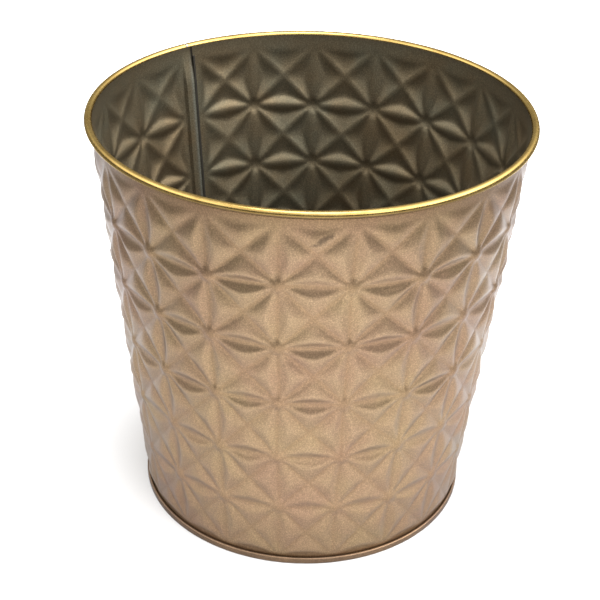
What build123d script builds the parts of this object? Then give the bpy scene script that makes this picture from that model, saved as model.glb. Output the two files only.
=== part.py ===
from build123d import *
from itertools import product
from math import asin, atan2, cos, degrees, floor, hypot, radians, sin, sqrt, tan
import os

# Cachepot of embossed tinplate: a tapered wall sheet closed by a lock seam, its top edge rolled
# round a wire, and a recessed base pan joined on by a double seam. Millimetres and degrees.
# The origin is the centre of the resting plane, +Z is up and the side seam faces +Y.

# Overall sizes
rim_diameter = 160.0        # over the rolled bead
pot_height = 155.0          # resting plane to the top of the bead
base_diameter = 125.0       # over the double seam

# Sheet and folds
sheet = 0.3                 # tinplate thickness
layer_gap = 0.1             # air between folded layers

# Rolled rim
wire_diameter = 1.9
wire_clearance = 0.15       # between the wire and the roll
wire_butt_gap = 0.8         # between the two ends of the wire hoop
roll_opening = 1.3          # along the roll, from its end to the wall

# Base
hook_length = 1.15          # of the hooks of base and wall in the double seam
hook_seal = 0.2             # height of sealing compound above the wall's hook
panel_height = 4.0          # middle of the base panel above the resting plane
panel_step = 0.8            # stiffening step, up towards the centre
panel_step_inset = 14.0     # from the pan's upright wall to the step
panel_step_run = 2.0        # width of the step's slope

# Side seam
lock_width = 3.0            # between the two folds
lock_jog_run = 0.8          # slope that lifts the overlying edge on to the lock
lock_margin = 0.5           # flat sheet beside the lock
seal_width = 1.2            # run of sealing compound along the open fold
seal_height = 0.7

# Embossed star lattice
star_columns = 18           # full columns of stars round the wall
seam_angle = 4.8            # left out of the lattice at the side seam
row_pitch = 24.45
first_row_drop = 29.8       # top of the pot to the first full row of stars
plain_band = 3.5            # left smooth below the bead and above the double seam
groove_depth = 0.1          # middle of a petal, below the plain sheet
crest_height = 1.15         # tip of a facet, above the plain sheet
border_inset = 0.05         # edge of the embossed zone, below the plain sheet

# Double seam, layer by layer inwards: seam wall, wall hook, base hook, pot wall, pan wall
layer_pitch = sheet + layer_gap
fold_radius = 0.9 * layer_pitch     # at the middle of the sheet, nearly a full round over one layer
seam_wall_r = base_diameter / 2 - sheet / 2
wall_hook_r = seam_wall_r - layer_pitch
base_hook_r = wall_hook_r - layer_pitch
wall_foot_r = base_hook_r - layer_pitch
pan_wall_r = wall_foot_r - layer_pitch
base_fold_z = sheet / 2
wall_fold_z = base_fold_z + layer_pitch
wall_hook_top = wall_fold_z + hook_length
hook_seal_z = wall_hook_top + layer_gap
seam_height = hook_seal_z + hook_seal + 2 * layer_gap + sheet
seam_top_z = seam_height - sheet / 2

# Rolled rim and the wall's slope, which runs tangent to the roll
curl_radius = wire_diameter / 2 + wire_clearance + sheet / 2
bead_r = rim_diameter / 2 - curl_radius - sheet / 2
bead_z = pot_height - curl_radius - sheet / 2
bead_run = bead_r - wall_foot_r
bead_rise = bead_z - seam_height
taper = atan2(bead_run, bead_rise) - asin(curl_radius / hypot(bead_run, bead_rise))
wall_top_r = bead_r - curl_radius * cos(taper)
wall_top_z = bead_z + curl_radius * sin(taper)

# Embossed zone between the plain bands
emboss_top = wall_top_z - plain_band
emboss_bottom = seam_height + plain_band
first_row_z = pot_height - first_row_drop
star_rows = floor((first_row_z - emboss_bottom) / row_pitch + 0.5)
rows = star_rows + 1
columns = star_columns + 1
row_heights = [emboss_top, *(first_row_z - row_pitch * k for k in range(star_rows)), emboss_bottom]
column_angle = (360 - seam_angle) / columns
star_angles = [seam_angle / 2 + column_angle * (k + 1) for k in range(star_columns)]

# Lock seam, measured across from its middle and inwards from the middle of the sheet
lock_edge = lock_width / 2
jog_clear = 2 * layer_pitch
fold_clear = sheet / 2 + layer_gap
flat_half = lock_edge + jog_clear + lock_jog_run + lock_margin


def wall_radius(height):
    """Radius to the middle of the plain wall sheet at a height."""
    return wall_foot_r + (height - seam_height) * tan(taper)


def folded_sheet(points):
    """Section of a sheet folded along a path of corners, each bent to the fold radius."""
    return trace(FilletPolyline(*points, radius=fold_radius), sheet)


def turned(section):
    """Full turn about the pot's axis of a section drawn as radius and height."""
    return revolve(Plane.XZ * section, Axis.Z, 360)


def flat_radius(height):
    """Distance from the axis to the flat of the side seam, whose sides lie at the border inset."""
    sag = flat_half**2 / (2 * wall_radius(emboss_bottom))
    return wall_radius(height) - border_inset - sag


def along_seam(section):
    """Section across the side seam carried up the wall's slope through the embossed zone."""
    start = Plane((0, flat_radius(emboss_bottom), emboss_bottom), x_dir=(-1, 0, 0), z_dir=(0, 0, 1))
    climb = (emboss_top - emboss_bottom) / cos(taper)
    return extrude(start * section, amount=climb, dir=(0, sin(taper), cos(taper)))


def part_way(values, place):
    """Value at a place along a list, with the places between two entries interpolated."""
    low = min(floor(place), len(values) - 2)
    return values[low] + (values[low + 1] - values[low]) * (place - low)


def lattice_point(column, row, level):
    """Point at a column and row of the lattice, parts included, and a level out of the sheet.

    The first and last columns run beside the lock, on the flat of the seam, the first and last
    rows along the plain bands. The others hold the stars, the columns up the slope of the wall.
    """
    height = part_way(row_heights, row)
    if column == 0:
        return Vector(-flat_half, flat_radius(height) + level, height)
    if column == columns:
        return Vector(flat_half, flat_radius(height) + level, height)
    radius = wall_radius(height) + level
    flat_angle = degrees(asin(flat_half / radius))
    turn = radians(part_way([flat_angle, *star_angles, 360 - flat_angle], column))
    return Vector(-radius * sin(turn), radius * cos(turn), height)


def embossed_panel():
    """Faceted sheet: petal grooves along every line of the lattice, raised facets between them."""
    tip_share = sqrt(2) - 1         # centre of the circle inside each triangle of a square cell
    border_shares = (0.25, 0.5, 0.75)

    def skin_point(place, depth, side):
        column, row = place
        if column in (0, columns):
            depth = 0
        elif row in (0, rows):
            depth = border_inset
        return lattice_point(column, row, side * sheet / 2 - depth)

    def between(start, end, share):
        return tuple(s + share * (e - s) for s, e in zip(start, end))

    def facets(start, end, centre, side):
        """Facets from one edge of a lattice cell to its centre, round a raised tip."""
        middle = between(start, end, 0.5)
        tip = skin_point(between(middle, centre, tip_share), -crest_height, side)
        shares = border_shares if middle[1] in (0, rows) else (0.5,)
        ring = [skin_point(place, groove_depth / 2, side) for place in (end, centre, start)]
        ring += [skin_point(between(start, end, share), groove_depth, side) for share in shares]
        return [Face(Wire.make_polygon([*pair, tip])) for pair in zip(ring, ring[1:] + ring[:1])]

    def edge_face(places):
        """Cut edge of the sheet along one border of the lattice."""
        outside = [skin_point(place, 0, 1) for place in places]
        inside = [skin_point(place, 0, -1) for place in reversed(places)]
        return Face(Wire.make_polygon(outside + inside))

    across = [k / 4 for k in range(4 * columns + 1)]
    down = [k / 2 for k in range(2 * rows + 1)]
    faces = [edge_face([(k, row) for k in across]) for row in (0, rows)]
    faces += [edge_face([(column, k) for k in down]) for column in (0, columns)]
    for column, row, side in product(range(columns), range(rows), (1, -1)):
        corners = [(column, row), (column + 1, row), (column + 1, row + 1), (column, row + 1)]
        for start, end in zip(corners, corners[1:] + corners[:1]):
            faces += facets(start, end, (column + 0.5, row + 0.5), side)
    return Solid(Shell(faces))


def lock_seam():
    """The two hooked edges of the wall sheet, one laid over and into the other."""
    levels = [layer_pitch * k for k in range(4)]
    jog_foot = lock_edge + jog_clear + lock_jog_run
    over = [(flat_half, 0), (jog_foot, 0), (lock_edge + jog_clear, levels[3]), (-lock_edge, levels[3])]
    over += [(-lock_edge, levels[1]), (lock_edge - fold_clear, levels[1])]
    under = [(-flat_half, 0), (lock_edge, 0), (lock_edge, levels[2]), (fold_clear - lock_edge, levels[2])]
    return [along_seam(folded_sheet(points)) for points in (over, under)]


def wall_sheet():
    """Tapered wall: embossed panel, lock seam, plain rim band and the hooked foot, all one sheet."""
    rim_path = Line((wall_radius(emboss_top - plain_band), emboss_top - plain_band), (wall_top_r, wall_top_z))
    rim_band = split(turned(trace(rim_path, sheet)), Plane.XY.offset(emboss_top), Keep.TOP)
    foot = [(wall_radius(emboss_bottom + plain_band), emboss_bottom + plain_band)]
    foot += [(wall_foot_r, seam_height), (wall_foot_r, wall_fold_z)]
    foot += [(wall_hook_r, wall_fold_z), (wall_hook_r, wall_hook_top)]
    foot_band = split(turned(folded_sheet(foot)), Plane.XY.offset(emboss_bottom), Keep.BOTTOM)
    return embossed_panel().fuse(*lock_seam(), rim_band, foot_band)


def rim_bead():
    """Top edge of the wall rolled outwards round the wire, from where the wall meets it."""
    sweep = 360 - degrees(roll_opening / curl_radius)
    roll = CenterArc((bead_r, bead_z), curl_radius, 180 - degrees(taper), -sweep)
    return turned(trace(roll, sheet))


def rim_wire():
    """Wire hoop inside the roll, its butted ends at the side seam."""
    butt_angle = degrees(wire_butt_gap / bead_r)
    section = Plane.XZ * (Pos(bead_r, bead_z) * Circle(wire_diameter / 2))
    return Rot(0, 0, 90 + butt_angle / 2) * revolve(section, Axis.Z, 360 - butt_angle)


def base_pan():
    """Pressed base: stepped panel, upright wall, and the rim that wraps the wall's hook."""
    step_r = pan_wall_r - panel_step_inset
    path = [(0, panel_height + panel_step), (step_r - panel_step_run, panel_height + panel_step)]
    path += [(step_r, panel_height), (pan_wall_r, panel_height), (pan_wall_r, base_fold_z)]
    path += [(seam_wall_r, base_fold_z), (seam_wall_r, seam_top_z)]
    path += [(base_hook_r, seam_top_z), (base_hook_r, seam_top_z - hook_length)]
    return turned(folded_sheet(path))


def base_seal():
    """Ring of sealing compound in the pocket above the wall's hook."""
    return turned(Pos(wall_hook_r, hook_seal_z + hook_seal / 2) * Rectangle(sheet, hook_seal))


def side_seal():
    """Run of sealing compound along the open fold of the lock, inside the pot."""
    corner_x = -lock_edge - fold_clear
    corner_y = fold_clear
    corners = [(corner_x, corner_y), (corner_x - seal_width, corner_y), (corner_x, corner_y + seal_height)]
    return along_seam(make_face(Polyline(*corners, close=True)))


nodes = {
    "wall_sheet": wall_sheet(),
    "rim_bead": rim_bead(),
    "rim_wire": rim_wire(),
    "base_pan": base_pan(),
    "base_seal": base_seal(),
    "side_seal": side_seal(),
}

os.makedirs("parts", exist_ok=True)
for name, solid in nodes.items():
    export_step(solid, f"parts/{name}.step")
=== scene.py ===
from math import asin, atan2, cos, hypot, pi, radians, sin, tan
import bpy
import numpy as np
from mathutils import Matrix, Vector


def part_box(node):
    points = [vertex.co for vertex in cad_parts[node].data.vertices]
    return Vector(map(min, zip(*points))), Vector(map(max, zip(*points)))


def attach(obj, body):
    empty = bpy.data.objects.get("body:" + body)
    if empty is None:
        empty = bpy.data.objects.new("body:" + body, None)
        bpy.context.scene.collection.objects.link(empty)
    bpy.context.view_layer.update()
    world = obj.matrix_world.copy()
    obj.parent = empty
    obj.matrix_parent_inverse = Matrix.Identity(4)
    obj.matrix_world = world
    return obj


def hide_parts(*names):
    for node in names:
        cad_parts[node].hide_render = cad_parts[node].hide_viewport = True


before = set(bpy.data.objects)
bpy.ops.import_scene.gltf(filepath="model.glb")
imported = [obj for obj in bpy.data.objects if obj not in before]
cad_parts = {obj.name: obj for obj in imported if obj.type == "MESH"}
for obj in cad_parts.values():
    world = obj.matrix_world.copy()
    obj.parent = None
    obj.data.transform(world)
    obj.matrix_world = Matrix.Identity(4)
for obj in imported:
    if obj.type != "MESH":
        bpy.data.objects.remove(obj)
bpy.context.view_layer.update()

# Wall: one sheet of tinplate, embossed all over with eight-petalled stars, lacquered bronze outside and
# dark olive inside. It is rolled into a cone, its ends are hooked into a lock seam that stands up inside,
# and its foot is folded outwards into a hook for the base.
mm = 0.001
sheet = 0.3 * mm
layer_pitch = 0.4 * mm              # one sheet and the air to the next, in a fold
bend_radius = 0.36 * mm             # of a fold, at the middle of the sheet
curl_radius = 1.25 * mm             # of the rolled rim, at the middle of the sheet
seam_height = 2.5 * mm              # double seam at the base
wall_fold_z = 0.55 * mm             # fold of the wall's hook
wall_hook_top = 1.7 * mm
row_pitch = 24.45 * mm
first_row_drop = 29.8 * mm          # top of the pot to the first full row of stars
lattice_rows = 6
lattice_columns = 19
seam_angle = radians(4.8)           # left out of the lattice at the side seam
groove_depth = 0.1 * mm             # middle of a petal, below the plain sheet
crest_height = 1.3 * mm             # tip of a facet, above the plain sheet
knot_height = 0.4 * mm              # middle of a star, above the plain sheet
knot_share = 0.3                    # its reach, as a share of a cell
button_height = 0.75 * mm           # in the middle of each star
button_share = 0.09                 # its radius, as a share of a cell
button_edge = 0.09                  # width of its sloping side
petal_share = 0.155                 # half the width of a petal at its middle, as a share of a cell
petal_bow = 1.5                     # how round its sides are, from 1 for straight ones
petal_scoop = 1.5                   # how hollow a petal on a side is across, from 1 for two flat facets
facet_bow = 1.35                    # how round a facet is from the ridge to the diagonal, from 1 for flat
star_flat = 0.03                    # plain round the middle of a star, as a share of a cell
least_open = 1e-6                   # where that leaves nothing of a petal
ridge_round = 0.1                   # softening of the ridges, as a share of the climb
plain_rim = 3.5 * mm                # left smooth below the bead
plain_foot = 0.3 * mm               # and above the double seam
rim_fade = 10.0 * mm                # over which the relief comes up to its full height, from the top
foot_fade = 4.0 * mm                # and from the foot
low_share = 0.65                    # share of the relief at the foot, where the emboss is shallower
full_relief_z = 90.0 * mm           # height above which it is full
uneven_press = 0.22                 # share by which the relief is deeper or shallower from place to place
press_start = 5.0                   # angle at which the slow waves of that begin
wander = 0.5 * mm                   # by which the stars stray along the wall
climb_start = 2.1                   # angles at which the waves of that begin, up the wall and round it
round_start = 4.4
wave_counts = (9, -7, 5)            # slow waves round the pot, one way or the other
wave_rises = (70, 110, -130)        # angle by which each shifts for a metre of height
flat_half = 3.6 * mm                # smooth sheet from the middle of the side seam, beside its open fold
flat_fade = 4.0 * mm
lock_edge = 1.5 * mm                # folds of the lock, each side of its middle
lock_height = 3 * layer_pitch
fold_step = 0.15 * mm               # steps across the rounded edge of a fold
jog_top = 2.3 * mm                  # slope that lifts the overlying edge, across the seam
jog_foot = 3.1 * mm
jog_fade = 3.0 * mm                 # from the foot of the slope to full relief
lock_low = 5.0 * mm                 # the lock is pressed flat below this height
lock_low_fade = 2.0 * mm
lock_drop = 1.0 * mm                # and towards the top of the wall
lock_top_fade = 14.0 * mm
groove_line = 0.12                  # climb up to which grime and painted shade lie in a groove
fold_half = 0.35 * mm               # half the width of the painted shadow at the edge of the fold
rubbed_lit_middle = 0.7 * mm              # rubbed strip on the lock, lightened as a painted highlight of its raised edge, from its middle towards the open fold
rubbed_lit_half = 0.7 * mm
rim_shade_run = 3.6 * mm            # painted shade on the wall below the bead's overhang
double_seam_shade_run = 0.7 * mm           # and above the double seam
double_seam_shade_share = 0.5              # how strong it is there
band_rows = 5                       # grid lines in the smooth band at the top
sharp_angle = radians(50)           # between faces, from which an edge looks sharp

# Grid lines from the side of a lattice cell to its middle, as shares of the cell, and across the lock
cell_lines = np.array([0, 0.045, 0.085, 0.125, 0.17, 0.225, 0.295, 0.36, 0.43])
seam_offsets = np.array([-3.0, -2.3, -1.8, -1.66, -1.5, -0.7, 0.3, 1.2, 1.6, 1.75, 2.0, 2.3, 2.7, 3.1]) * mm

# Shares of the lock's height by which the sheet stands off, inside and outside, from a fold to the jog's foot
rise_shares = np.array([0, 0.6, 1, 1, 0])
slot_shares = np.array([0, 0.5, 0.7, 0.65, 0])

pot_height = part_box("rim_bead")[1].z
rim_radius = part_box("rim_bead")[1].x
base_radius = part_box("base_pan")[1].x
bead_r = rim_radius - curl_radius - sheet / 2
bead_z = pot_height - curl_radius - sheet / 2
seam_wall_r = base_radius - sheet / 2
wall_hook_r = seam_wall_r - layer_pitch
base_hook_r = wall_hook_r - layer_pitch
wall_foot_r = base_hook_r - layer_pitch
bead_run = bead_r - wall_foot_r
bead_rise = bead_z - seam_height
taper = atan2(bead_run, bead_rise) - asin(curl_radius / hypot(bead_run, bead_rise))
wall_top_z = bead_z + curl_radius * sin(taper)
first_row_z = pot_height - first_row_drop
column_angle = (2 * pi - seam_angle) / lattice_columns


def smooth_step(share):
    """Eased change from 0 to 1: three times the square of the share less twice its cube."""
    share = np.clip(share, 0, 1)
    return share * share * (3 - 2 * share)


def softer_least(first, second, width):
    """The lesser of two arrays, rounded where they differ by less than the width."""
    blend = np.maximum(width - np.abs(first - second), 0)
    return np.minimum(first, second) - blend * blend / (4 * width)


def bent_path(corners, radius, steps=5):
    """Middle line of a folded sheet, as radius and height, and the direction to its left.

    Straight runs between the corners, and at each corner an arc of the bend radius tangent to both runs.
    """
    corners = np.array(corners, float)
    runs = np.diff(corners, axis=0)
    runs /= np.linalg.norm(runs, axis=1, keepdims=True)
    lefts = runs @ np.array([[0, 1], [-1, 0]])
    points = [corners[:1]]
    sides = [lefts[:1]]
    for corner, run, left, after in zip(corners[1:-1], runs, lefts, runs[1:]):
        turn = atan2(left @ after, run @ after)
        bend = np.linspace(0, turn, steps)[:, None]
        side = left * np.cos(bend) - run * np.sin(bend)
        reach = radius * tan(abs(turn) / 2)
        way = radius * np.sign(turn)
        points.append(corner - run * reach + way * (left - side))
        sides.append(side)
    points.append(corners[-1:])
    sides.append(lefts[-1:])
    return np.concatenate(points), np.concatenate(sides)


def around_pot(radius, turn, height):
    """Points at a radius and a height, turned about the pot's axis from the side seam, which is at +Y."""
    radius, turn, height = np.broadcast_arrays(radius, turn, height)
    return np.stack([-radius * np.sin(turn), radius * np.cos(turn), height], axis=-1)


def from_seam(turn, radius):
    """Distance round the pot from the side seam, at a radius: at most half way round, to either side."""
    return ((turn + pi) % (2 * pi) - pi) * radius


def star_relief(column, row):
    """Height of the embossed sheet at a place in the lattice, in cells, and its climb from groove to ridge.

    Petals lie along the sides and the diagonals of every square cell. From the middle line of a petal on a
    side the sheet climbs, ever steeper, to a bowed ridge with a soft edge. From there a rounded facet falls
    to the nearest diagonal. Petals are shallower towards their ends, and a round button is added in the
    middle of each star.
    """
    across = np.abs((column + 0.5) % 1 - 0.5)
    along = np.abs((row + 0.5) % 1 - 0.5)
    from_side = np.minimum(across, along)
    from_star = np.hypot(across, along)
    on_side = np.maximum(across, along)
    open_side = np.maximum(on_side - star_flat, least_open) / (0.5 - star_flat)
    ridge = 1 - (1 - open_side) ** petal_bow
    half_width = petal_share * ridge
    up_side = (from_side / half_width) ** petal_scoop
    down_facet = np.maximum(from_side - half_width, 0) / (on_side - half_width)
    up_diagonal = 1 - down_facet**facet_bow
    climb = ridge * np.maximum(softer_least(up_side, up_diagonal, ridge_round), 0)
    open_share = smooth_step(from_star / knot_share)
    groove = knot_height - (knot_height + groove_depth) * open_share
    button = button_height * smooth_step((button_share - from_star) / button_edge + 0.5)
    return groove + (crest_height - groove) * climb + button, climb


def slow_waves(turn, height, start):
    """Uneven swell over the wall, from -1 to 1: the mean of three sine waves that climb round the pot.

    Each has a whole number of waves round it and its own rise, and begins at once, twice or three times the
    start.
    """
    waves = zip(wave_counts, wave_rises, (start, 2 * start, 3 * start))
    swell = sum(np.sin(count * turn + rise * height + begin) for count, rise, begin in waves)
    return swell / len(wave_counts)


def grid_places(cells):
    """Places of the grid lines over a number of lattice cells, in cells, with the halves of a cell alike."""
    shares = np.concatenate([cell_lines, [0.5], 1 - cell_lines[:0:-1]])
    return (np.arange(cells)[:, None] + shares).ravel()


def wall_path():
    """Radius and height of the middle line of the sheet, from the rim to the end of the hook, and its normal.

    It runs down the slope of the cone, through every row of the lattice, and round the folds of the hook.
    """
    lattice_z = first_row_z + row_pitch * (1 - grid_places(lattice_rows))
    slope_z = np.append(np.linspace(wall_top_z, lattice_z[0], band_rows, endpoint=False), lattice_z)
    slope_r = wall_foot_r + (slope_z - seam_height) * tan(taper)
    slope_side = np.tile([cos(taper), -sin(taper)], (len(slope_z), 1))
    hook_corners = [(wall_foot_r, seam_height), (wall_foot_r, wall_fold_z)]
    hook_corners += [(wall_hook_r, wall_fold_z), (wall_hook_r, wall_hook_top)]
    hook, hook_side = bent_path(hook_corners, bend_radius)
    path_r = np.append(slope_r, hook[:, 0])[:, None]
    path_z = np.append(slope_z, hook[:, 1])[:, None]
    return path_r, path_z, np.concatenate([slope_side, hook_side])


def wall_turns(path_r):
    """Angles of the columns of points round the pot, for each radius of the path.

    They follow the columns of the lattice, whose first and last cells are stretched or squeezed to end at the
    flat beside the lock, and then the grid lines across the lock.
    """
    columns = np.append(grid_places(lattice_columns), lattice_columns)
    first = np.where(columns < 1, 1 - columns, 0)
    last = np.where(columns > lattice_columns - 1, columns - lattice_columns + 1, 0)
    star_turn = seam_angle / 2 + column_angle * columns
    lattice_turn = star_turn + (first - last) * (flat_half / path_r - seam_angle / 2)
    return np.concatenate([lattice_turn, 2 * pi + seam_offsets / path_r], axis=1)


def out_and_back(outer, inner):
    """Rows of the outer skin from the rim to the hook, then those of the inner skin back to the rim."""
    return np.concatenate([outer, inner[::-1]])


def wall_skins():
    """Points of both skins of the wall, and how crested, grooved, near an edge, rubbed or at the fold's edge
    each point is, for the lacquer's wear, grime, painted highlights and painted shade.

    The path of the sheet is carried round the pot. Its points stray up and round by slow waves. They are set
    out or in along the normal by half the thickness, by the relief and, across the side seam, by the lock.
    """
    path_r, path_z, side = wall_path()
    turn = wall_turns(path_r)
    offset = from_seam(turn, path_r)

    from_lock = np.where(offset > 0, (offset - jog_foot) / jog_fade, (-offset - flat_half) / flat_fade)
    shown = smooth_step((wall_top_z - plain_rim - path_z) / rim_fade)
    shown = shown * smooth_step((path_z - seam_height - plain_foot) / foot_fade)
    shown = shown * (low_share + (1 - low_share) * smooth_step(path_z / full_relief_z))
    shown = shown * smooth_step(from_lock)
    column = (turn - seam_angle / 2) / column_angle
    relief, climb = star_relief(column, (path_z - first_row_z) / row_pitch)
    relief = shown * relief * (1 + uneven_press * slow_waves(turn, path_z, press_start))

    lock_foot = smooth_step((path_z - lock_low) / lock_low_fade)
    lock_shown = lock_foot * smooth_step((wall_top_z - lock_drop - path_z) / lock_top_fade)
    rise_at = [-lock_edge - 2 * fold_step, -lock_edge - fold_step, -lock_edge, jog_top, jog_foot]
    slot_at = [lock_edge, lock_edge + fold_step, lock_edge + 2 * fold_step, jog_top, jog_foot]
    inner_rise = np.interp(offset, rise_at, rise_shares * lock_height)
    outer_slot = np.interp(offset, slot_at, slot_shares * lock_height)
    out = sheet / 2 + relief - lock_shown * outer_slot
    back = -sheet / 2 + relief - lock_shown * inner_rise

    # Crests get wear and a painted highlight along the ridges
    crest = shown * climb
    # Grooves get grime and painted shade in the creases
    groove = shown * np.exp(-((climb / groove_line) ** 2))
    # Painted shade on the wall below the bead's overhang and just above the double seam
    rim_shade = np.exp(-(wall_top_z - path_z) / rim_shade_run)
    double_seam_shade = double_seam_shade_share * np.exp(-np.abs(path_z - seam_height) / double_seam_shade_run)
    edge_shade = np.broadcast_to(rim_shade + double_seam_shade, turn.shape)
    # A rubbed strip on the lock, lightened as a painted highlight of its raised edge
    rubbed_lit_strip = np.exp(-(((offset + rubbed_lit_middle) / rubbed_lit_half) ** 2)) * lock_shown
    # Painted shadow along the edge of the lock's fold
    fold = np.exp(-(((offset + lock_edge + fold_step) / fold_half) ** 4)) * lock_foot
    shades = {"crest": out_and_back(crest, crest), "groove": out_and_back(groove, groove)}
    shades["edge_shade"] = out_and_back(edge_shade, edge_shade)
    shades["rubbed_lit_strip"] = out_and_back(np.zeros_like(rubbed_lit_strip), rubbed_lit_strip)
    shades["fold"] = out_and_back(np.zeros_like(fold), fold)

    stray = shown * wander * slow_waves(turn, path_z, climb_start)
    turn = turn + shown * wander / path_r * slow_waves(turn, path_z, round_start)
    path_r = path_r + stray * tan(taper)
    path_z = path_z + stray
    level = out_and_back(out, back)
    side = out_and_back(side, side)
    radius = out_and_back(path_r, path_r) + level * side[:, :1]
    height = out_and_back(path_z, path_z) + level * side[:, 1:]
    return around_pot(radius, out_and_back(turn, turn), height), shades


def ring_mesh(name, points, poles=False, split=None):
    """Closed mesh over a grid of points whose columns go round the pot.

    The rows join up as well, or with poles the first and last rows are points on the axis, closed by fans.
    Each square has four sides, or with split is cut into two triangles, along the diagonal that it says.
    """
    rows, columns = points.shape[:2]
    index = np.arange(rows * columns).reshape(rows, columns)
    if poles:
        points = np.concatenate([points[1:-1].reshape(-1, 3), points[:1, 0], points[-1:, 0]])
        index = np.arange((rows - 2) * columns).reshape(rows - 2, columns)
    upper = index[:-1] if poles else index
    lower = index[1:] if poles else np.roll(index, -1, axis=0)
    square = [upper, lower, np.roll(lower, -1, axis=1), np.roll(upper, -1, axis=1)]
    a, b, c, d = (corner.ravel() for corner in square)
    if split is None:
        faces = np.stack([a, b, c, d], axis=1).tolist()
    else:
        cut = split.ravel()[:, None]
        first = np.where(cut, np.stack([a, b, c], axis=1), np.stack([a, b, d], axis=1))
        second = np.where(cut, np.stack([a, c, d], axis=1), np.stack([b, c, d], axis=1))
        faces = np.concatenate([first, second]).tolist()
    if poles:
        top = np.full(columns, len(points) - 2)
        bottom = np.full(columns, len(points) - 1)
        faces += np.stack([top, index[0], np.roll(index[0], -1)], axis=1).tolist()
        faces += np.stack([bottom, np.roll(index[-1], -1), index[-1]], axis=1).tolist()
    mesh = bpy.data.meshes.new(name)
    mesh.from_pydata(points.reshape(-1, 3), [], faces)
    mesh.shade_smooth()
    mesh.set_sharp_from_angle(angle=sharp_angle)
    piece = bpy.data.objects.new(name, mesh)
    bpy.context.scene.collection.objects.link(piece)
    return piece


def keep_attribute(piece, name, values):
    """Stores one number for each point of a piece, for its material to read."""
    attribute = piece.data.attributes.new(name, "FLOAT", "POINT")
    attribute.data.foreach_set("value", np.ascontiguousarray(values, np.float32).ravel())


points, shades = wall_skins()
wall_rows, wall_columns = points.shape[:2]
skin_rows = wall_rows // 2

# The squares of both skins are cut along the diagonals of the lattice's cells, where its creases run
half_cell = len(cell_lines)
row_half = (np.arange(skin_rows) - band_rows) % (2 * half_cell) < half_cell
column_half = np.arange(wall_columns) % (2 * half_cell) < half_cell
outer_cut = row_half[:, None] == column_half
inner_cut = ~np.roll(outer_cut[::-1], -1, axis=0)
wall = ring_mesh("embossed_wall", points, split=np.concatenate([outer_cut, inner_cut]))
for shade, values in shades.items():
    keep_attribute(wall, shade, values)

drift_scale = 40.0                  # slow change of a lacquer's tone
flake_scale = 2300.0                # and its metal flake
crest_wear_and_highlight = 0.4                    # share of the worn and lit tone on a crest: wear, and a painted highlight along the ridge
groove_grime_and_shade = 0.25                 # share of the grime and shade tone in a groove: grime, and painted shade in the crease
rough_drift = 0.04                  # by which the roughness changes with the tone, up and down
flake_depth = 0.05 * mm
gleam_tint = (0.73, 0.77, 0.84, 1)  # of what a lacquer reflects at a low angle
# Tone of the rubbed strip on the lock, lightened as a painted highlight
rubbed_lit_tone = (0.132, 0.132, 0.108, 1)
# Painted shadow at the edge of the lock's fold
fold_tone = (0.012, 0.01, 0.008, 1)
scuff_tone = (0.038, 0.025, 0.017, 1)
scuff_place = (-45.2 * mm, -62.4 * mm, 143.8 * mm)
scuff_tilt = radians(35)            # up from level
scuff_half_length = 6.5 * mm
scuff_half_width = 2.0 * mm
scuff_share = 0.65                  # of its tone, in its middle


def add_node(tree, kind, inputs, **settings):
    """Adds a shader node, sets its options, and gives its inputs a value or another node's output."""
    node = tree.nodes.new("ShaderNode" + kind)
    for option, value in settings.items():
        setattr(node, option, value)
    for socket, value in inputs.items():
        if isinstance(value, bpy.types.NodeSocket):
            tree.links.new(value, node.inputs[socket])
        else:
            node.inputs[socket].default_value = value
    return node


def new_finish(name, **inputs):
    """A material with one Principled shader and the places of the piece's own points."""
    material = bpy.data.materials.new(name)
    material.use_nodes = True
    tree = material.node_tree
    tree.nodes.clear()
    surface = add_node(tree, "BsdfPrincipled", inputs)
    add_node(tree, "OutputMaterial", {"Surface": surface.outputs["BSDF"]})
    place = add_node(tree, "TexCoord", {}).outputs["Object"]
    return material, tree, surface, place


def noise(tree, place, scale, detail, roughness=0.5):
    """Cloudy noise over the places of a piece, from 0 to 1."""
    inputs = {"Vector": place, "Scale": scale, "Detail": detail, "Roughness": roughness}
    return add_node(tree, "TexNoise", inputs).outputs["Fac"]


def spread(tree, value, low, high, first=0.0, last=1.0):
    """A value from low to high, spread evenly from a first to a last one."""
    ends = {"Value": value, "From Min": low, "From Max": high, "To Min": first, "To Max": last}
    return add_node(tree, "MapRange", ends).outputs["Result"]


def mixed(tree, share, tone, other_tone):
    """A tone, and by a share another one instead. A Mix node has its two colours at inputs 6 and 7."""
    return add_node(tree, "Mix", {0: share, 6: tone, 7: other_tone}, data_type="RGBA").outputs[2]


def scaled(tree, tone, factor):
    """A tone made darker or lighter by a factor."""
    return add_node(tree, "VectorMath", {0: tone, "Scale": factor}, operation="SCALE").outputs[0]


def distance(tree, place):
    """Distance of a place from the middle of its coordinates."""
    return add_node(tree, "VectorMath", {0: place}, operation="LENGTH").outputs["Value"]


def kept(tree, name):
    """One of the numbers that are stored for each point of the piece."""
    return add_node(tree, "Attribute", {}, attribute_name=name).outputs["Fac"]


def bumps(tree, height, strength, depth):
    """The shading of fine bumps, whose height goes from 0 to 1."""
    return add_node(tree, "Bump", {"Height": height, "Strength": strength, "Distance": depth}).outputs[0]


def link_surface(tree, surface, sources):
    """Links the sources of a finish to the sockets of its shader."""
    for socket, source in sources.items():
        tree.links.new(source, surface.inputs[socket])


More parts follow.
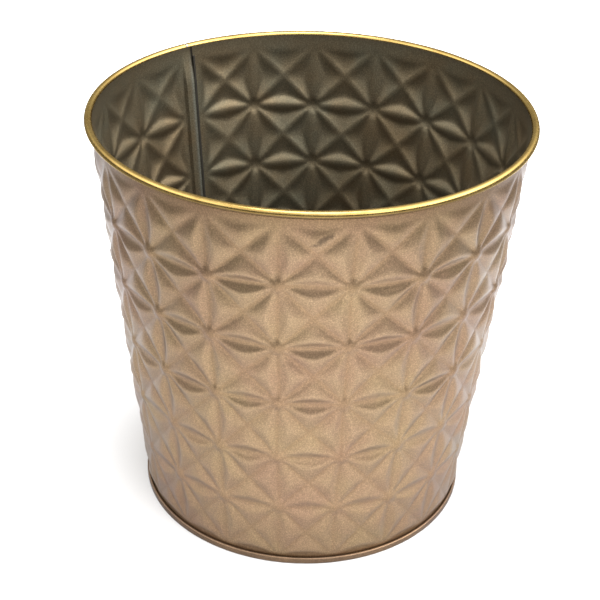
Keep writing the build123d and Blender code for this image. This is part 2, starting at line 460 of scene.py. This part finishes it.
def lacquer(name, tone, second_tone, worn_and_lit_tone, grime_and_shade_tone, roughness, metallic):
    """Metallic lacquer: fine flake, slow drift between two tones, wear with a painted highlight on crests,
    and grime with painted shade in grooves.

    It has painted shade along its edges, a rubbed strip lightened as a painted highlight on the lock of the
    side seam, and a painted shadow in the edge of the lock's fold.
    """
    material, tree, surface, place = new_finish(name, **{"Metallic": metallic, "Specular Tint": gleam_tint})
    drift = noise(tree, place, drift_scale, detail=4.0, roughness=0.6)
    flake = noise(tree, place, flake_scale, detail=2.0, roughness=0.6)
    # Crests: wear, and a painted highlight along the ridges
    wear_and_highlight = spread(tree, kept(tree, "crest"), low=0.5, high=1.0, last=crest_wear_and_highlight)
    # Grooves: grime, and painted shade in the creases
    groove_grime_shade = spread(tree, kept(tree, "groove"), low=0.0, high=1.0, last=groove_grime_and_shade)
    grain = spread(tree, flake, low=0.42, high=0.72, first=0.92, last=1.6)
    mottled = mixed(tree, spread(tree, drift, low=0.35, high=0.65), tone, second_tone)
    worn_and_lit = mixed(tree, wear_and_highlight, mottled, worn_and_lit_tone)
    grimy_and_shaded = mixed(tree, groove_grime_shade, worn_and_lit, grime_and_shade_tone)
    # Painted shade along the wall's top and foot
    edge_shaded = mixed(tree, kept(tree, "edge_shade"), grimy_and_shaded, grime_and_shade_tone)
    # Rubbed strip on the lock, lightened as a painted highlight
    rubbed_and_lit = mixed(tree, kept(tree, "rubbed_lit_strip"), edge_shaded, rubbed_lit_tone)
    # Painted shadow at the fold's edge
    folded = mixed(tree, kept(tree, "fold"), rubbed_and_lit, fold_tone)
    smoothest = roughness - rough_drift
    roughest = roughness + rough_drift
    rough = spread(tree, drift, low=0.3, high=0.7, first=smoothest, last=roughest)
    speckled = scaled(tree, folded, grain)
    bump = bumps(tree, flake, strength=0.06, depth=flake_depth)
    link_surface(tree, surface, {"Base Color": speckled, "Roughness": rough, "Normal": bump})
    return material


def scuff(material, centre, tilt, half_length, half_width):
    """Darkens a ragged oval patch of a finish, centred at a point of the wall and tilted up from level."""
    tree = material.node_tree
    surface = tree.nodes["Principled BSDF"]
    under = surface.inputs["Base Color"].links[0].from_socket
    place = tree.nodes["Texture Coordinate"].outputs["Object"]
    spin = (0, -tilt, atan2(-centre[0], centre[1]) + pi)
    oval = {"Vector": place, "Location": centre, "Rotation": spin}
    oval["Scale"] = (half_length, half_length, half_width)
    reach = distance(tree, add_node(tree, "Mapping", oval, vector_type="TEXTURE").outputs[0])
    rags = noise(tree, place, scale=900.0, detail=3.0)
    ragged = add_node(tree, "Math", {0: reach, 1: rags}, operation="ADD").outputs[0]
    share = spread(tree, ragged, low=0.8, high=1.2, first=scuff_share, last=0.0)
    link_surface(tree, surface, {"Base Color": mixed(tree, share, under, scuff_tone)})


bronze = lacquer(
    "bronze_lacquer",
    tone=(0.205, 0.143, 0.08, 1),
    second_tone=(0.201, 0.128, 0.08, 1),
    worn_and_lit_tone=(0.238, 0.171, 0.105, 1),
    grime_and_shade_tone=(0.122, 0.066, 0.028, 1),
    roughness=0.35,
    metallic=0.85,
)
olive = lacquer(
    "olive_lacquer",
    tone=(0.111, 0.083, 0.048, 1),
    second_tone=(0.085, 0.077, 0.052, 1),
    worn_and_lit_tone=(0.117, 0.095, 0.061, 1),
    grime_and_shade_tone=(0.068, 0.055, 0.034, 1),
    roughness=0.54,
    metallic=0.9,
)
scuff(bronze, scuff_place, scuff_tilt, scuff_half_length, scuff_half_width)
wall.data.materials.append(bronze)
wall.data.materials.append(olive)
inner_half = np.repeat(np.arange(wall_rows) >= skin_rows, wall_columns)
wall.data.polygons.foreach_set("material_index", np.tile(inner_half, 2).astype(np.int32))
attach(wall, "root")
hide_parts("wall_sheet")

# Side seal: dark, rubbery sealing compound, run along the open fold of the lock seam inside the pot, where it
# sets and keeps water out of the fold.
dark_tone = (0.008, 0.007, 0.005, 1)
less_dark_tone = (0.022, 0.019, 0.014, 1)
lump_depth = 0.1 * mm


def compound(name):
    """Dark rubbery compound: two browns in soft patches, dull, with a fine lumpy skin."""
    material, tree, surface, place = new_finish(name, **{"Specular IOR Level": 0.15})
    patch = noise(tree, place, scale=260.0, detail=4.0)
    tone = mixed(tree, patch, dark_tone, less_dark_tone)
    rough = spread(tree, patch, low=0.0, high=1.0, first=0.7, last=0.95)
    bump = bumps(tree, patch, strength=0.4, depth=lump_depth)
    link_surface(tree, surface, {"Base Color": tone, "Roughness": rough, "Normal": bump})
    return material


dark_compound = compound("dark_compound")
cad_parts["side_seal"].data.materials.clear()
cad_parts["side_seal"].data.materials.append(dark_compound)

# Rim wire: a hoop of drawn steel wire that stiffens the mouth. Its ends are butted at the side seam, and the
# top edge of the wall is rolled round it, which holds it and hides it.
dull_steel = (0.32, 0.31, 0.30, 1)
bright_steel = (0.58, 0.57, 0.55, 1)


def drawn_steel():
    """Drawn wire: grey steel, clouded with darker and smoother spots."""
    material, tree, surface, place = new_finish("drawn_steel", Metallic=1.0)
    spots = noise(tree, place, scale=420.0, detail=3.0)
    tone = mixed(tree, spots, dull_steel, bright_steel)
    rough = spread(tree, spots, low=0.0, high=1.0, first=0.25, last=0.5)
    link_surface(tree, surface, {"Base Color": tone, "Roughness": rough})
    return material


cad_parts["rim_wire"].data.materials.clear()
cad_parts["rim_wire"].data.materials.append(drawn_steel())

# Rolled rim: the top edge of the wall curled outwards round the wire and finished in polished gold.
# The two ends of the roll meet at the side seam in a small open joint, where bare tin shows.
roll_opening = 1.3 * mm             # along the roll, from its end to the wall
joint_depth = 0.25 * mm
joint_half = 0.4 * mm
joint_angle = radians(1.5)          # round the pot to each side of the joint, with closer points
under_level = -0.1 * mm             # below this, from the middle of the roll, the wall's lacquer covers it
under_fade = 0.15 * mm
rim_columns = 360                   # points round the pot, and more at the joint
joint_columns = 33
outer_points = 56                   # points along the section, outside, inside and round its end
inner_points = 30
end_points = 7
gold_tone = (0.318, 0.219, 0.073, 1)
tarnish_tone = (0.222, 0.14, 0.041, 1)
gold_gleam_tint = (0.88, 0.78, 0.6, 1)
coat_tone = (0.1, 0.065, 0.035, 1)
tin_tone = (0.23, 0.215, 0.19, 1)
ripple_depth = 0.05 * mm


def rolled_rim():
    """Section of the roll carried round the mouth, how near each point is to the joint, and how coated.

    The section is an arc of the curl's outer radius, a rounded end, and an arc of its inner radius back.
    At the joint the outer arc sinks by a bell curve of the distance along the rim.
    """
    plain_turns = np.linspace(joint_angle, 2 * pi - joint_angle, rim_columns)
    turn = np.append(plain_turns, np.linspace(-joint_angle, joint_angle, joint_columns)[1:-1])
    start = pi - taper
    end = start - 2 * pi + roll_opening / curl_radius
    outer = np.linspace(start, end, outer_points)
    inner = np.linspace(end, start, inner_points)
    cap = np.linspace(0, pi, end_points)[1:-1]
    outer_radius = curl_radius + sheet / 2
    inner_radius = curl_radius - sheet / 2
    cap_reach = curl_radius + sheet / 2 * np.cos(cap)
    cap_r = cap_reach * cos(end) + sheet / 2 * np.sin(cap) * sin(end)
    cap_z = cap_reach * sin(end) - sheet / 2 * np.sin(cap) * cos(end)
    section_r = np.concatenate([outer_radius * np.cos(outer), cap_r, inner_radius * np.cos(inner)])[:, None]
    section_z = np.concatenate([outer_radius * np.sin(outer), cap_z, inner_radius * np.sin(inner)])[:, None]
    joint = np.exp(-((from_seam(turn, bead_r) / joint_half) ** 2))
    outside = (np.arange(len(section_r)) < outer_points)[:, None]
    sunk = 1 - np.where(outside, joint_depth / outer_radius * joint, 0)
    points = around_pot(bead_r + section_r * sunk, turn, bead_z + section_z * sunk)
    under = smooth_step((under_level - section_z) / under_fade) * outside
    return points, np.broadcast_to(joint, sunk.shape), np.broadcast_to(under, sunk.shape)


def polished_gold():
    """Bright gold, cloudy with tarnish and finely rippled, lacquered below, and bare tin at the joint."""
    shine = {"Metallic": 1.0, "Specular Tint": gold_gleam_tint}
    material, tree, surface, place = new_finish("polished_gold", **shine)
    tarnish = noise(tree, place, scale=70.0, detail=5.0, roughness=0.65)
    ripple = noise(tree, place, scale=900.0, detail=3.0)
    gold = mixed(tree, spread(tree, tarnish, low=0.45, high=0.75), gold_tone, tarnish_tone)
    coated = mixed(tree, kept(tree, "under"), gold, coat_tone)
    tone = mixed(tree, kept(tree, "joint"), coated, tin_tone)
    rough = spread(tree, ripple, low=0.3, high=0.7, first=0.18, last=0.32)
    bump = bumps(tree, ripple, strength=0.12, depth=ripple_depth)
    link_surface(tree, surface, {"Base Color": tone, "Roughness": rough, "Normal": bump})
    return material


points, joint, under = rolled_rim()
rim = ring_mesh("rolled_rim", points)
keep_attribute(rim, "joint", joint)
keep_attribute(rim, "under", under)
rim.data.materials.append(polished_gold())
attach(rim, "root")
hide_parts("rim_bead")

# Base: a pan pressed from the same lacquered sheet, its panel stepped up towards the middle. Its rim is
# folded over the wall's hook and squeezed shut, which makes the double seam that the pot stands on.
pan_wall_r = wall_foot_r - layer_pitch
panel_height = 4.0 * mm
panel_step = 0.8 * mm
panel_step_inset = 14.0 * mm
panel_step_run = 2.0 * mm
hook_length = 1.15 * mm
base_columns = 288
least_upward = 0.3                  # upward part of a face's normal, for a face of the pot's floor


def base_sheet():
    """Section of the pan, top skin outwards and under skin back, turned about the pot's axis."""
    step_r = pan_wall_r - panel_step_inset
    fold_z = sheet / 2
    seam_top = seam_height - sheet / 2
    corners = [(0, panel_height + panel_step), (step_r - panel_step_run, panel_height + panel_step)]
    corners += [(step_r, panel_height), (pan_wall_r, panel_height), (pan_wall_r, fold_z)]
    corners += [(seam_wall_r, fold_z), (seam_wall_r, seam_top), (base_hook_r, seam_top)]
    corners += [(base_hook_r, seam_top - hook_length)]
    middle, side = bent_path(corners, bend_radius)
    section = out_and_back(middle + side * sheet / 2, middle - side * sheet / 2)
    turn = np.arange(base_columns) * 2 * pi / base_columns
    return around_pot(section[:, :1], turn, section[:, 1:])


def face_vectors(piece, kind):
    """The centres or normals of a piece's faces, one to a row."""
    vectors = np.zeros(len(piece.data.polygons) * 3)
    piece.data.polygons.foreach_get(kind, vectors)
    return vectors.reshape(-1, 3)


base = ring_mesh("base_with_seam", base_sheet(), poles=True)
base_bronze = lacquer(
    "base_lacquer",
    tone=(0.143, 0.092, 0.055, 1),
    second_tone=(0.106, 0.069, 0.044, 1),
    worn_and_lit_tone=(0.185, 0.128, 0.074, 1),
    grime_and_shade_tone=(0.055, 0.036, 0.02, 1),
    roughness=0.38,
    metallic=0.85,
)
base.data.materials.append(base_bronze)
base.data.materials.append(olive)
centres = face_vectors(base, "center")
facing_up = face_vectors(base, "normal")[:, 2] > least_upward
inside_pot = facing_up & (np.hypot(centres[:, 0], centres[:, 1]) < pan_wall_r)
base.data.polygons.foreach_set("material_index", inside_pot.astype(np.int32))
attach(base, "root")
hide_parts("base_pan")

# Base seal: a ring of the same compound, laid in the rim of the base before it is folded over the wall's
# hook, and shut in the fold above the hook.
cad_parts["base_seal"].data.materials.clear()
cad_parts["base_seal"].data.materials.append(dark_compound)

# Stage: a white floor, its colour painted pale round the pot and behind it as a painted pool of light, and
# painted into shade further off and round the pot's foot. A soft round light hangs over the pot, under a
# bright ceiling that is brightest to both sides. The horizon is dim in front.
view_azimuth = radians(-39.5)
floor_half = 4.0
pale_back = 0.42                    # middle of the pale floor, behind the pot as the camera sees it
pale_depth = 0.67                   # half its depth and half its width
pale_width = 0.22
pale_right = 0.015                  # and its middle is a little to the right
pale_core = 0.8                     # shares of these sizes where the shade begins and is full
shade_reach = 1.8
pale_tone = (0.85, 0.85, 0.85, 1)
edge_tone = (0.6, 0.6, 0.6, 1)
shade_tone = (0.1, 0.1, 0.1, 1)
foot_shade = 0.54                   # share of the pale tone at the foot of the pot: a painted contact shadow
foot_shade_radius = 0.065
foot_pale_radius = 0.2
key_height = 0.9
key_reach = 0.15                    # towards the camera
key_size = 0.5
key_energy = 7.2
ceiling_light = 5.1
middle_share = 0.38                 # share of it over the line of sight, more to both sides
side_share = 1.9
right_share = 0.6                   # a little more of that to the right
front_share = 0.6                   # more in front of the pot, and less behind it
front_horizon = 0.1
back_horizon = 0.65
back_from = 0.2                     # backward part of a direction, where the horizon starts to brighten
back_full = 0.9                     # and where it is full
horizon_top = 0.16                  # upward part of a direction, where the ceiling starts
ceiling_full = 0.6                  # and where it is full

corner_signs = np.array([(-1, -1, 0), (1, -1, 0), (1, 1, 0), (-1, 1, 0)])
floor_mesh = bpy.data.meshes.new("floor")
floor_mesh.from_pydata(floor_half * corner_signs, [], [(0, 1, 2, 3)])
floor = bpy.data.objects.new("floor", floor_mesh)
bpy.context.scene.collection.objects.link(floor)
floor_finish, tree, surface, place = new_finish("white_floor", Roughness=0.9)
pale_middle = Matrix.Rotation(view_azimuth, 3, "Z") @ Vector((pale_right, pale_back, 0))
oval = {"Vector": place, "Location": pale_middle, "Rotation": (0, 0, view_azimuth)}
oval["Scale"] = (pale_width, pale_depth, 1)
reach = distance(tree, add_node(tree, "Mapping", oval, vector_type="TEXTURE").outputs[0])
tone = add_node(tree, "ValToRGB", {"Fac": spread(tree, reach, low=0.0, high=shade_reach)})
ramp = tone.color_ramp
ramp.elements[0].position = pale_core / shade_reach
ramp.elements[0].color = pale_tone
ramp.elements[1].position = 1.0
ramp.elements[1].color = shade_tone
edge = ramp.elements.new(1 / shade_reach)
edge.color = edge_tone
# Painted contact shadow round the pot's foot
painted_contact_shade = spread(tree, distance(tree, place), foot_shade_radius, foot_pale_radius, first=foot_shade)
link_surface(tree, surface, {"Base Color": scaled(tree, tone.outputs[0], painted_contact_shade)})
floor_mesh.materials.append(floor_finish)

key_data = bpy.data.lights.new("key_softbox", "AREA")
key_data.shape = "DISK"
key_data.size = key_size
key_data.energy = key_energy
key = bpy.data.objects.new("key_softbox", key_data)
key_place = Matrix.Rotation(view_azimuth, 4, "Z") @ Matrix.Translation((0, -key_reach, key_height))
key.matrix_world = key_place @ Matrix.Rotation(atan2(key_reach, key_height), 4, "X")
bpy.context.scene.collection.objects.link(key)

world = bpy.data.worlds.new("studio")
world.use_nodes = True
tree = world.node_tree
look = add_node(tree, "TexCoord", {}).outputs["Generated"]
up = add_node(tree, "SeparateXYZ", {0: look}).outputs["Z"]
turned = add_node(tree, "VectorRotate", {"Vector": look, "Angle": -view_azimuth}, rotation_type="Z_AXIS")
aligned = add_node(tree, "SeparateXYZ", {0: turned.outputs[0]})
aside = aligned.outputs["X"]
behind = aligned.outputs["Y"]
lean = add_node(tree, "Math", {0: aside, 1: side_share, 2: right_share}, operation="MULTIPLY_ADD").outputs[0]
lean_share = add_node(tree, "Math", {0: aside, 1: lean, 2: middle_share}, operation="MULTIPLY_ADD").outputs[0]
back_share = spread(tree, behind, low=-1.0, high=1.0, first=1 + front_share, last=1 - front_share)
share = add_node(tree, "Math", {0: lean_share, 1: back_share}, operation="MULTIPLY").outputs[0]
ceiling = add_node(tree, "Math", {0: share, 1: ceiling_light}, operation="MULTIPLY").outputs[0]
horizon = spread(tree, behind, back_from, back_full, front_horizon, back_horizon)
rising = {"Value": up, "From Min": horizon_top, "From Max": ceiling_full}
rising |= {"To Min": horizon, "To Max": ceiling}
light = add_node(tree, "MapRange", rising, interpolation_type="SMOOTHSTEP")
tree.links.new(light.outputs[0], tree.nodes["Background"].inputs["Strength"])
tree.nodes["Background"].inputs["Color"].default_value = (1, 1, 1, 1)
bpy.context.scene.world = world
bpy.context.scene.view_settings.view_transform = "Standard"

# Camera: at the photograph's viewing angle, aimed at the middle of the pot, with small turns that bring the
# pot to its place in the frame. Its focal length is that of the photograph, in pixels of the frame.
view_elevation = radians(30.60)
view_distance = 0.5519
view_yaw = radians(0.261)
view_pitch = radians(-0.085)
view_roll = radians(-1.646)
focal_pixels = 1452
image_side = 600
camera_data = bpy.data.cameras.new("camera")
camera_data.sensor_width = 36.0
camera_data.lens = camera_data.sensor_width * focal_pixels / image_side
camera = bpy.data.objects.new("camera", camera_data)
aim = Matrix.Translation((0, 0, pot_height / 2)) @ Matrix.Rotation(view_azimuth, 4, "Z")
aim = aim @ Matrix.Rotation(pi / 2 - view_elevation, 4, "X") @ Matrix.Translation((0, 0, view_distance))
turn = Matrix.Rotation(view_yaw, 4, "Y") @ Matrix.Rotation(view_pitch, 4, "X")
turn = turn @ Matrix.Rotation(-view_roll, 4, "Z")
camera.matrix_world = aim @ turn
bpy.context.scene.collection.objects.link(camera)
bpy.context.scene.camera = camera
